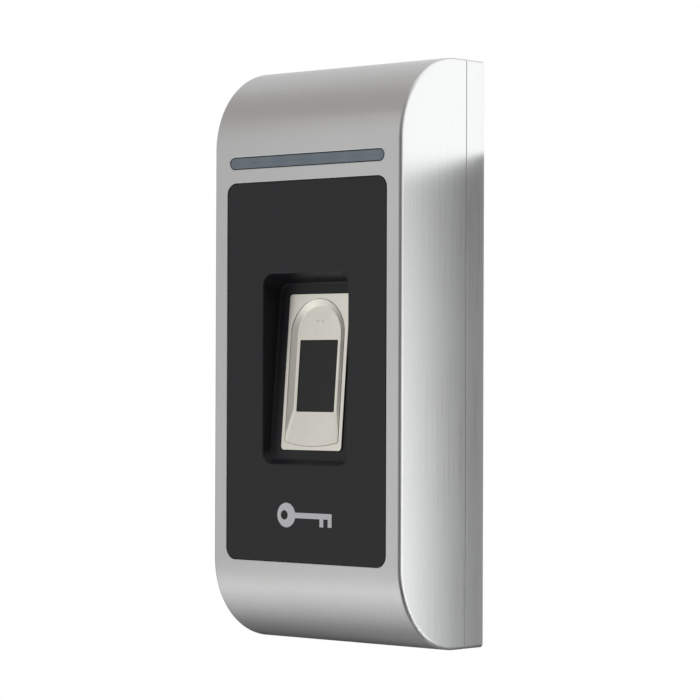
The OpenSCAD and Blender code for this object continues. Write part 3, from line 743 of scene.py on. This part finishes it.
def lean(piece):
    """Turns a piece made with x across, y up the floor and z out of it onto the pocket floor."""
    make_active(piece)
    piece.rotation_euler = (math.radians(90) - LEAN, 0, 0)
    piece.location = (0, floor_y * MM, floor_z * MM)
    bpy.ops.object.transform_apply(location=True, rotation=True, scale=True)
    return piece


def floor_slab(name, centre, size, radius, t_from, t_to, segments=8):
    """A plate with round corners in the floor's own directions, not yet leaned."""
    piece = block(
        name, (centre[0] - size[0] / 2, centre[1] - size[1] / 2, t_from),
        (centre[0] + size[0] / 2, centre[1] + size[1] / 2, t_to))
    if radius:
        round_edges(piece, along(2), radius, segments)
    return piece


# %% [markdown]
# The pocket's opening is a little larger than its floor, which is the draft. The opening for the sensor
# frame is cut through the floor, and four posts under it take the sensor board's screws.

# %% Tub
panel_face = panel_low[1] / MM
panel_back = panel_face + 1.4
POCKET_W, POCKET_H, POCKET_R = 29.0, 48.5, 3.2
FLOOR_W, FLOOR_H = 27.8, 45.2
pocket_z = panel_z + 0.6


def tub(name, margin, y_start, y_end, t):
    """Drafted solid from the face down to a height t over the leaning floor, grown by a margin."""
    width = POCKET_W + 2 * margin
    height = POCKET_H + 2 * margin
    piece = slab(name, (0, pocket_z), (width, height), POCKET_R + margin, y_start, y_end, 10)
    make_active(piece)
    bpy.ops.object.mode_set(mode="EDIT")
    bpy.context.tool_settings.mesh_select_mode = (False, False, True)
    bpy.ops.mesh.select_all(action="DESELECT")
    mesh = bmesh.from_edit_mesh(piece.data)
    for face in mesh.faces:
        face.select = face.normal.y > 0.9
    mesh.select_flush_mode()
    bmesh.update_edit_mesh(piece.data)
    bpy.ops.mesh.extrude_region_move(TRANSFORM_OT_translate={"value": (0, 0.001, 0)})
    mesh = bmesh.from_edit_mesh(piece.data)
    for corner in mesh.verts:
        if corner.select:
            s = (corner.co.z / MM - pocket_z) * (FLOOR_H + 2 * margin) / height + 0.25
            y, z = on_floor(s, t)
            x = corner.co.x * (FLOOR_W + 2 * margin) / width
            corner.co = (x, y * MM, z * MM)
    bmesh.update_edit_mesh(piece.data)
    bpy.ops.object.mode_set(mode="OBJECT")
    return piece


panel_size = ((panel_high[0] - panel_low[0]) / MM, (panel_high[2] - panel_low[2]) / MM)
panel = slab("black_panel", (0, panel_z), panel_size, 2.85, panel_face, panel_back, 14)
join(panel, tub("tub", 1.6, panel_back - 0.6, panel_back - 0.5, -1.6))
POST_X, POST_S = 18.6, 14.5
for x in (-POST_X, POST_X):
    for s in (-POST_S, POST_S):
        top = (floor_y + s * math.sin(LEAN) - panel_back + 0.3) / math.cos(LEAN)
        join(panel, lean(bar("post", 2.2, (x, s, -2.9), (x, s, top), 32)))
cut(panel, tub("pocket", 0.0, panel_face - 0.5, panel_face, 0.0))
cut(panel, lean(floor_slab("opening", (0, 0), (20.9, 40.0), 1.0, -4.6, 2.0, 5)))
for x in (-POST_X, POST_X):
    for s in (-POST_S, POST_S):
        cut(panel, lean(bar("thread", 1.0, (x, s, -3.9), (x, s, 0.3), 24)))
print("panel", len(panel.data.polygons), "faces")

# %% [markdown]
# The mould's cutter leaves a round at the foot of the pocket's walls, and a smaller one at its rim and at
# the panel's outer edge.

# %% Rounds of the panel
def height_over_floor(p):
    return ((floor_y - p.y) * math.cos(LEAN) + (p.z - floor_z) * math.sin(LEAN),
            (p.y - floor_y) * math.sin(LEAN) + (p.z - floor_z) * math.cos(LEAN))


def foot_of_wall(a, b):
    for p in (a, b):
        t, s = height_over_floor(p)
        if abs(t) > 0.02 or (abs(p.x) < 11.5 and abs(s) < 21.0):
            return False
    return True


def pocket_rim(a, b):
    inside = all(abs(p.x) < POCKET_W / 2 + 0.1 and abs(p.z - pocket_z) < POCKET_H / 2 + 0.1 for p in (a, b))
    return inside and all(abs(p.y - panel_face) < 0.01 for p in (a, b))


def outer_rim(a, b):
    far = all(abs(p.x) > panel_size[0] / 2 - 3 or abs(p.z - panel_z) > panel_size[1] / 2 - 3 for p in (a, b))
    return far and all(abs(p.y - panel_face) < 0.01 for p in (a, b))


print("foot", round_edges(panel, foot_of_wall, 0.6, 4))
print("rim", round_edges(panel, pocket_rim, 0.35, 3))
print("outer", round_edges(panel, outer_rim, 0.2, 2))
finish_piece(panel, "cover", ["front_panel"], panel_black)

# %% [markdown]
# ## Key mark
# A plain key printed on the panel tells where the finger opens the door. A print is only a few hundredths
# of a millimetre thick, so it stands 0.02 mm over the plastic, with soft corners.

# %% Key mark
mark_w = (mark_high[0] - mark_low[0]) / MM
bow_z = mark_high[2] / MM - 3.1
bow_x = -mark_w / 2 + 3.1
mark_front = panel_face - 0.02
mark_back = panel_face + 0.1
key = bar("key_print", 3.1, (bow_x, mark_front, bow_z), (bow_x, mark_back, bow_z), 64)
cut(key, bar("eye", 1.2, (bow_x - 0.7, mark_front - 1, bow_z), (bow_x - 0.7, mark_back + 1, bow_z), 40))
shaft_length = mark_w - 5.6
shaft_x = mark_w / 2 - shaft_length / 2
join(key, slab("shaft", (shaft_x, bow_z), (shaft_length, 1.4), 0.2, mark_front, mark_back, 4))
for x in (mark_w / 2 - 0.65, mark_w / 2 - 3.45):
    join(key, slab("tooth", (x, bow_z - 1.5), (1.3, 2.4), 0.15, mark_front, mark_back, 4))
finish_piece(key, "cover", ["key_mark"], mark_grey)

# %% [markdown]
# ## Light guide
# The guide is a bar with round ends that stands just inside its slot, with a flange behind the cover that
# keeps it from being pushed out.

# %% Light guide
guide_front = light_low[1] / MM
guide = slab("light_guide", (0, light_z), (light_w - 0.2, 2.8), 1.399, guide_front, inner_front, 12)
join(guide, slab("flange", (0, light_z), (light_w + 2, 6.0), 1.0, inner_front - 0.2, inner_front + 1.4, 6))
keep_low = (-half_w, guide_front - 1, light_z - 5)
keep_high = (half_w, inner_front + 1.4, light_z + 5)
combine(guide, block("keep", keep_low, keep_high), "INTERSECT")


def guide_edge(a, b):
    return all(abs(p.y - guide_front) < 0.01 for p in (a, b))


print("guide edge", round_edges(guide, guide_edge, 0.3, 3))
finish_piece(guide, "cover", ["light_bar"], light_lens)

# %% [markdown]
# ## Sensor frame
# The frame guides the fingertip. Its scoop has an arch at the top, like a fingertip's outline, walls that
# slope to the floor, and a long flat ramp below the window. The outline starts as a circle whose lower half
# is pulled down to the ramp's end. Each extrusion makes the next ring, and the last one is smaller and
# deeper. Its lip and its foot are rounded afterwards, so that both catch a thin line of light.

# %% Scoop
ARCH_R, ARCH_S = 9.1, 9.5
FRAME_TOP = 0.4
SCOOP = 0.7
SCOOP_FLOOR = FRAME_TOP - SCOOP
WALL_RUN = 1.8
LIP_END, FOOT_END = -18.9, -10.55
LIP_SAG, FOOT_SAG = 1.1, 0.3
RING = 96


def scoop_point(k, inset, bottom, sag):
    """Place of ring point k: arch, left side, bottom and right side, anticlockwise from the right."""
    radius = ARCH_R - inset
    if k <= RING // 2:
        turn = 2 * math.pi * k / RING
        return radius * math.cos(turn), ARCH_S + radius * math.sin(turn)
    rest = (k - RING // 2) / (RING // 2)
    side_end = bottom + sag
    if rest < 0.25:
        return -radius, ARCH_S + (side_end - ARCH_S) * rest / 0.25
    if rest <= 0.75:
        x = radius * (rest - 0.5) / 0.25
        return x, bottom + sag * (x / radius) ** 2
    return radius, side_end + (ARCH_S - side_end) * (rest - 0.75) / 0.25


def make_scoop():
    clear_selection()
    bpy.ops.mesh.primitive_circle_add(vertices=RING, radius=ARCH_R * MM, fill_type="NGON")
    piece = bpy.context.object
    bpy.ops.object.mode_set(mode="EDIT")
    bpy.context.tool_settings.mesh_select_mode = (False, False, True)
    bpy.ops.mesh.select_all(action="SELECT")
    rings = [(0.0, FRAME_TOP + 0.5), (0.0, FRAME_TOP), (1.0, SCOOP_FLOOR)]
    for number, (down, t) in enumerate(rings):
        if number:
            bpy.ops.mesh.extrude_region_move(TRANSFORM_OT_translate={"value": (0, 0, -0.0001)})
        mesh = bmesh.from_edit_mesh(piece.data)
        if number == 0:
            order = mesh.verts.layers.int.new("order")
            for corner in mesh.verts:
                around = math.atan2(corner.co.y, corner.co.x) % (2 * math.pi)
                corner[order] = round(around / (2 * math.pi) * RING) % RING
        order = mesh.verts.layers.int["order"]
        ring = [corner for corner in mesh.verts if corner.select]
        for corner in ring:
            end = LIP_END + (FOOT_END - LIP_END) * down
            sag = LIP_SAG + (FOOT_SAG - LIP_SAG) * down
            x, s = scoop_point(corner[order], WALL_RUN * down, end, sag)
            corner.co = (x * MM, s * MM, t * MM)
        bmesh.update_edit_mesh(piece.data)
    bpy.ops.mesh.select_all(action="SELECT")
    bpy.ops.mesh.normals_make_consistent(inside=False)
    bpy.ops.object.mode_set(mode="OBJECT")
    return piece


# %% [markdown]
# The frame is a plate with a flange below the floor, so it can't be pulled out. The scoop and the window
# are cut out of it, and a seat under the window takes the sensor.

# %% Frame with its flange and window
WINDOW_W, WINDOW_H, WINDOW_S = 12.8, 18.2, -0.95
nickel = floor_slab("sensor_frame", (0, 0), (20.7, 39.8), 1.0, -1.9, FRAME_TOP, 8)
join(nickel, floor_slab("flange", (0, 0), (24.5, 43.0), 1.6, -2.9, -1.9, 6))
cut(nickel, make_scoop())
cut(nickel, floor_slab("window", (0, WINDOW_S), (WINDOW_W, WINDOW_H), 0.25, -4.0, 2.0, 3))
cut(nickel, floor_slab("pad seat", (0, WINDOW_S), (15.0, 20.4), 0, -4.0, -1.9))


def frame_top_edge(a, b):
    return all(abs(p.z - FRAME_TOP) < 0.01 for p in (a, b))


def on_scoop_floor(a, b):
    return all(abs(p.z - SCOOP_FLOOR) < 0.01 for p in (a, b))


def past_window(p):
    """How far a point lies outside the window's outline, in millimetres."""
    return max(abs(p.x) - WINDOW_W / 2, abs(p.y - WINDOW_S) - WINDOW_H / 2)


def window_edge(a, b):
    return on_scoop_floor(a, b) and max(past_window(a), past_window(b)) < 0.05


def scoop_foot(a, b):
    return on_scoop_floor(a, b) and max(past_window(a), past_window(b)) > 0.2


print("frame edges", round_edges(nickel, frame_top_edge, 0.14, 3, 0.03))
print("foot edges", round_edges(nickel, scoop_foot, 0.12, 3, 0.03))
print("window edges", round_edges(nickel, window_edge, 0.14, 2))

# %% [markdown]
# A tiny raised bar over the window shows a fingertip where to stop.

# %% Raised bar
stop_s = WINDOW_S + WINDOW_H / 2 + 4.7
stop = floor_slab("stop bar", (0, stop_s), (2.2, 0.7), 0.349, SCOOP_FLOOR - 0.1, SCOOP_FLOOR + 0.12, 6)
round_edges(stop, lambda a, b: all(p.z > SCOOP_FLOOR + 0.11 for p in (a, b)), 0.08, 2)
join(nickel, stop)
lean(nickel)
finish_piece(nickel, "cover", ["sensor_bezel"], bezel_nickel)

# %% [markdown]
# The sensing surface lies 0.1 mm below the scoop's floor, with 0.1 mm of air around it.

# %% Sensing surface
glass_top = SCOOP_FLOOR - 0.1
glass_size = (WINDOW_W - 0.2, WINDOW_H - 0.2)
glass = floor_slab("sensing_surface", (0, WINDOW_S), glass_size, 0.2, -1.9, glass_top, 3)
round_edges(glass, lambda a, b: all(abs(p.z - glass_top) < 0.01 for p in (a, b)), 0.08, 2)
join(glass, floor_slab("package", (0, WINDOW_S), (14.6, 20.0), 0, -2.9, -1.9))
lean(glass)
finish_piece(glass, "cover", ["sensor_chip"], sensor_glass)

# %% [markdown]
# ## Stage
# The object hangs in a white studio. A pale floor lies well below it, and the metal does not mirror it.
# Metal shows mostly what it reflects, so the light is shaped for the faces that mirror it: the front
# mirrors what stands to the front left, and the right side mirrors what stands to the back right.

# %% Floor
clear_selection()
FLOOR_DROP = 0.2
floor_place = (0, 0.1, cad_low.z - FLOOR_DROP)
bpy.ops.mesh.primitive_circle_add(vertices=96, radius=0.55, fill_type="NGON", location=floor_place)
floor = bpy.context.object
floor.name = "studio_floor"
floor_paint = new_finish("floor_paint", (0.8, 0.8, 0.8), 0.7)
colour_from(floor_paint, grain(floor_paint, 30, 3.0), (0.79, 0.79, 0.79), (0.81, 0.81, 0.81))
floor.data.materials.append(floor_paint)
floor.visible_glossy = False
floor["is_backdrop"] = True
print("floor lies", FLOOR_DROP / MM, "mm below the object")

# %% [markdown]
# The world is white where the camera looks past the object. For light and reflections it is a grey room:
# each quarter has its own ramp from straight down to straight up, and the quarters melt into each other.

# %% World
scene = bpy.context.scene
scene.view_settings.view_transform = "Standard"
world = bpy.data.worlds.new("white_studio")
scene.world = world
world.use_nodes = True
nodes = world.node_tree.nodes
nodes.clear()
links = world.node_tree.links
direction = nodes.new("ShaderNodeTexCoord")
split = nodes.new("ShaderNodeSeparateXYZ")
links.new(direction.outputs["Generated"], split.inputs["Vector"])


def room_ramp(stops):
    """Grey by height: stops are (height, brightness and perhaps a tint), -1 is straight down, 1 is up."""
    height = nodes.new("ShaderNodeMapRange")
    height.inputs["From Min"].default_value = -1
    links.new(split.outputs["Z"], height.inputs["Value"])
    node = nodes.new("ShaderNodeValToRGB")
    links.new(height.outputs["Result"], node.inputs["Fac"])
    marks = node.color_ramp.elements
    while len(marks) < len(stops):
        marks.new(0.5)
    for mark, (level, grey, *tint) in zip(marks, stops):
        mark.position = (level + 1) / 2
        mark.color = [grey / 2 * part for part in (tint[0] if tint else (1, 1, 1))] + [1]
    return node.outputs["Color"]


def room_step(axis, start, end):
    step = nodes.new("ShaderNodeMapRange")
    step.interpolation_type = "SMOOTHSTEP"
    step.inputs["From Min"].default_value = start
    step.inputs["From Max"].default_value = end
    links.new(split.outputs[axis], step.inputs["Value"])
    return step.outputs["Result"]


def room_mix(amount, first, second):
    mix = nodes.new("ShaderNodeMix")
    mix.data_type = "RGBA"
    links.new(amount, mix.inputs["Factor"])
    links.new(first, mix.inputs[6])
    links.new(second, mix.inputs[7])
    return mix.outputs[2]

# %% [markdown]
# Brightness 1 mirrors as white. The numbers were found by rendering and changing one at a time.
# The ramps hold half of each value, and the background's strength of 2 brings it back, because a ramp
# colour is easier to read below 1.

# %% Quarters of the room
WARM = (1.06, 1.0, 0.95)
FRONT_LEFT = [
    (-1, 0.3), (-0.75, 0.70), (-0.57, 0.98), (-0.25, 0.70),
    (0.0, 0.63), (0.3, 0.60), (0.68, 0.44, WARM), (1, 0.5)]
BACK_LEFT = [
    (-1, 0.3), (-0.70, 0.30), (-0.5, 0.02), (0.0, 0.01),
    (0.14, 0.5), (0.25, 0.75), (0.7, 0.64), (1, 0.5)]
FRONT_RIGHT = [(-1, 0.08), (0, 0.08), (1, 0.4)]
BACK_RIGHT = [(-1, 0.05), (-0.35, 0.1), (-0.15, 1.2), (1, 1.2)]
left = room_mix(room_step("Y", -0.25, 0.35), room_ramp(FRONT_LEFT), room_ramp(BACK_LEFT))
right = room_mix(room_step("Y", -0.45, 0.1), room_ramp(FRONT_RIGHT), room_ramp(BACK_RIGHT))
room = nodes.new("ShaderNodeBackground")
room.inputs["Strength"].default_value = 2.0
links.new(room_mix(room_step("X", -0.3, 0.25), left, right), room.inputs["Color"])
white = nodes.new("ShaderNodeBackground")
white.inputs["Color"].default_value = (1, 1, 1, 1)
ray = nodes.new("ShaderNodeLightPath")
sky_mix = nodes.new("ShaderNodeMixShader")
sky_out = nodes.new("ShaderNodeOutputWorld")
links.new(ray.outputs["Is Camera Ray"], sky_mix.inputs["Fac"])
links.new(room.outputs["Background"], sky_mix.inputs[1])
links.new(white.outputs["Background"], sky_mix.inputs[2])
links.new(sky_mix.outputs["Shader"], sky_out.inputs["Surface"])
print("room nodes:", len(nodes))

# %% [markdown]
# A card stands just behind the object on its right. The brushed side mirrors it: the back edge is close to
# the card and shows its inner end, the front edge shows its outer end. So a card that is dark next to the
# object and light further out gives the side its shading. Its top is white, above a slanted edge.

# %% Graded card
CARD_Y = cad_high.y / MM + 4
clear_selection()
bpy.ops.mesh.primitive_plane_add(size=1, location=(0.092, CARD_Y * MM, 0), rotation=(math.radians(90), 0, 0))
card = bpy.context.object
card.name = "graded_card"
card.scale = (0.116, 0.4, 1)
bpy.ops.object.transform_apply(location=True, rotation=True, scale=True)
card_paint = bpy.data.materials.new("card_light")
card_paint.use_nodes = True
card_paint.node_tree.nodes.remove(card_paint.node_tree.nodes["Principled BSDF"])
card_place = add_node(card_paint, "ShaderNodeTexCoord")
card_parts = add_node(card_paint, "ShaderNodeSeparateXYZ")
link(card_paint, card_place.outputs["Object"], card_parts.inputs["Vector"])


def card_ramp(axis, start, end, stops):
    spread = add_node(card_paint, "ShaderNodeMapRange")
    spread.inputs["From Min"].default_value = start * MM
    spread.inputs["From Max"].default_value = end * MM
    link(card_paint, card_parts.outputs[axis], spread.inputs["Value"])
    node = add_node(card_paint, "ShaderNodeValToRGB")
    link(card_paint, spread.outputs["Result"], node.inputs["Fac"])
    marks = node.color_ramp.elements
    while len(marks) < len(stops):
        marks.new(0.5)
    for mark, (place, grey) in zip(marks, stops):
        mark.position = (place - start) / (end - start)
        mark.color = (grey / 2, grey / 2, grey / 2, 1)
    return node.outputs["Color"]


def card_math(operation, first, second):
    node = add_node(card_paint, "ShaderNodeMath", operation=operation)
    for socket, value in zip(node.inputs, (first, second)):
        if isinstance(value, float):
            socket.default_value = value
        else:
            link(card_paint, value, socket)
    return node.outputs[0]


# %% [markdown]
# The first list runs outward from the object and the second one upward, both in millimetres. Their
# product is the card's brightness below the white top.

# %% Light of the card
CARD_OUT = [(34, 0.20), (45, 0.20), (53, 0.25), (62, 0.74), (72, 1.75), (110, 1.9)]
CARD_UP = [(-75, 1.25), (-50, 1.2), (-20, 1.1), (10, 0.98), (42, 0.80), (60, 0.80)]
graded = card_math("MULTIPLY", card_ramp("X", 30, 120, CARD_OUT), card_ramp("Z", -80, 70, CARD_UP))
graded = card_math("MULTIPLY", graded, 4.0)
slant = card_math("ADD", card_parts.outputs["Z"], card_math("MULTIPLY", card_parts.outputs["X"], 0.22))
white_top = add_node(card_paint, "ShaderNodeMapRange", interpolation_type="SMOOTHSTEP")
white_top.inputs["From Min"].default_value = 0.0580
white_top.inputs["From Max"].default_value = 0.0600
link(card_paint, slant, white_top.inputs["Value"])
card_level = add_node(card_paint, "ShaderNodeMix", data_type="FLOAT")
card_level.inputs[3].default_value = 1.5
link(card_paint, white_top.outputs["Result"], card_level.inputs[0])
link(card_paint, graded, card_level.inputs[2])
card_glow = add_node(card_paint, "ShaderNodeEmission")
card_glow.inputs["Color"].default_value = (0.975, 0.99, 1.0, 1)
link(card_paint, card_level.outputs[0], card_glow.inputs["Strength"])
card_out = card_paint.node_tree.nodes["Material Output"]
link(card_paint, card_glow.outputs["Emission"], card_out.inputs["Surface"])
card.data.materials.append(card_paint)
card.visible_camera = False
card.visible_shadow = False
card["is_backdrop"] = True
print("card nodes:", len(card_paint.node_tree.nodes))

# %% [markdown]
# Two lamps remain. The overhead one lights the dark panel and is not mirrored, or it would draw a bright
# band on the upper round. The strip in front lifts the right half of the front a little.

# %% Lamps
def panel_lamp(name, place, aim, size, brightness):
    """A flat studio lamp: place, aim and size in millimetres, brightness 1 mirrors as white."""
    light = bpy.data.lights.new(name, "AREA")
    light.shape = "RECTANGLE"
    light.size = size[0] * MM
    light.size_y = size[1] * MM
    light.energy = brightness * math.pi * light.size * light.size_y
    lamp = bpy.data.objects.new(name, light)
    bpy.context.collection.objects.link(lamp)
    lamp.location = Vector(place) * MM
    lamp.rotation_euler = (Vector(place) - Vector(aim)).to_track_quat("Z", "Y").to_euler()
    lamp.visible_camera = False
    return lamp


overhead = panel_lamp("overhead", (-100, -300, 500), (0, -20, 0), (400, 300), 1.0)
overhead.visible_glossy = False
front_strip = panel_lamp("front_strip", (-62, -150, 0), (20, -32, 0), (60, 320), 0.2)
print("lamps in watts:", [round(lamp.data.energy, 3) for lamp in (overhead, front_strip)])

# %% [markdown]
# The camera stands to the right of the front, at the height of the middle, and looks along the object's
# near edge, with a long lens so that the upright edges stay almost parallel.

# %% Camera
CAMERA_ROUND = math.radians(41.99)
CAMERA_RISE = math.radians(0.557)
CAMERA_ROLL = math.radians(0.193)
CAMERA_AWAY = 0.728
aim = (cad_low + cad_high) / 2 + Vector((0.00861, -0.00848, 0.0009))
back = Vector((
    math.sin(CAMERA_ROUND) * math.cos(CAMERA_RISE),
    -math.cos(CAMERA_ROUND) * math.cos(CAMERA_RISE), -math.sin(CAMERA_RISE)))
lens = bpy.data.cameras.new("camera")
lens.lens = 148.8
lens.clip_start = 0.01
camera = bpy.data.objects.new("camera", lens)
bpy.context.collection.objects.link(camera)
camera.location = aim + back * CAMERA_AWAY
camera.rotation_euler = (back.to_track_quat("Z", "Y") @ Quaternion((0, 0, 1), CAMERA_ROLL)).to_euler()
scene.camera = camera
print("camera at", [round(v, 4) for v in camera.location])
